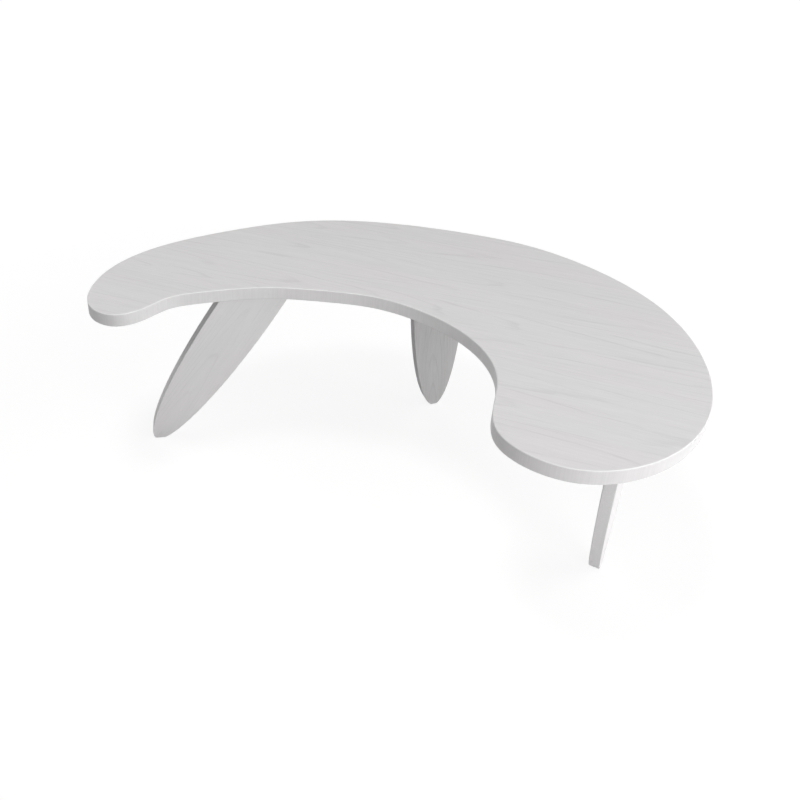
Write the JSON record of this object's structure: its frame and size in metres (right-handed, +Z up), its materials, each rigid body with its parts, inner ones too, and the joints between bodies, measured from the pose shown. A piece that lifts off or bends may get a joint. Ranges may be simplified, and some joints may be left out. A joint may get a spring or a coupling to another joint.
{
  "type": "free form desk",
  "caption": "Free form desk: a kidney-shaped whitewashed wooden top with a bay for the sitter, on splayed blade legs.",
  "frame": {"origin": "on the floor, under the centre of the top's outline box", "axes": "+X along the boards and the length of the top, from the arm to the lobe; +Y away from the sitter; +Z up"},
  "size_m": [1.7994, 1.1156, 0.74],
  "materials": {
    "whitewashed_wood": "whitewash under matt lacquer, grain along X",
    "whitewashed_leg": "whitewash under matt lacquer, grain along the leg",
    "beech": "bare, planed",
    "painted_steel": "fine matt powder coat",
    "zinc_steel": "zinc plated",
    "brass": "turned",
    "nylon": "moulded"
  },
  "bodies": {
    "root": {"lobe_board_1": "whitewashed_wood", "lobe_board_2": "whitewashed_wood", "lobe_board_3": "whitewashed_wood", "lobe_board_4": "whitewashed_wood", "arm_board_1": "whitewashed_wood", "arm_board_2": "whitewashed_wood", "arm_board_3": "whitewashed_wood", "long_board_1": "whitewashed_wood", "long_board_2": "whitewashed_wood", "long_board_3": "whitewashed_wood", "long_board_4": "whitewashed_wood", "long_board_5": "whitewashed_wood", "loose_tenons": "beech", "bracket_inserts": "brass", "channel_inserts": "brass", "bracket_screws": "zinc_steel", "channel_screws": "zinc_steel", "tongue_screws": "zinc_steel", "glide_screws": "zinc_steel", "arm_channel": "painted_steel", "middle_channel": "painted_steel", "lobe_channel": "painted_steel", "left_leg_bracket": "painted_steel", "middle_leg_bracket": "painted_steel", "right_leg_bracket": "painted_steel", "left_foot_glide": "nylon", "middle_foot_glide": "nylon", "right_foot_glide": "nylon", "left_leg": "whitewashed_leg", "middle_leg": "whitewashed_leg", "right_leg": "whitewashed_leg"}
  },
  "joints": []
}
